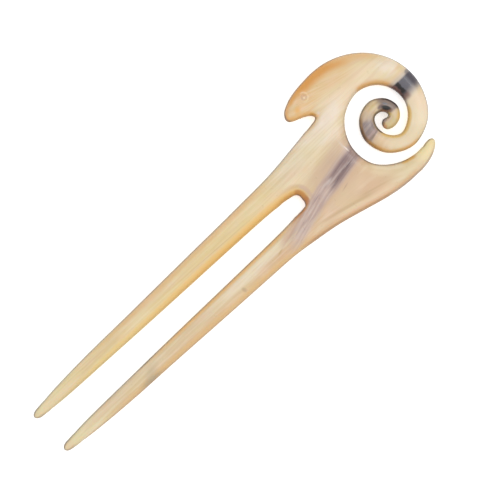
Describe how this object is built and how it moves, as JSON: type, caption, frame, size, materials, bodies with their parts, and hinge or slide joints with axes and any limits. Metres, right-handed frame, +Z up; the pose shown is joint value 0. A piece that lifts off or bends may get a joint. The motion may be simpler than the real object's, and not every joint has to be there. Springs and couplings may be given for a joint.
{
  "type": "hair fork",
  "caption": "Hair fork carved from a plate of horn: slender tapering prongs, a flat palm and a ram's head whose horn rolls up into a coil, for pinning up long hair.",
  "frame": {"origin": "root of the slot between the prongs, on the surface that the fork lies on", "axes": "+X along the prongs from their tips towards the head, +Y across them towards the muzzle, +Z up through the plate's thickness"},
  "size_m": [0.1453, 0.0419, 0.0046],
  "materials": {
    "horn": "polished pale horn with darker grain"
  },
  "bodies": {
    "root": {"fork": "horn"}
  },
  "joints": []
}
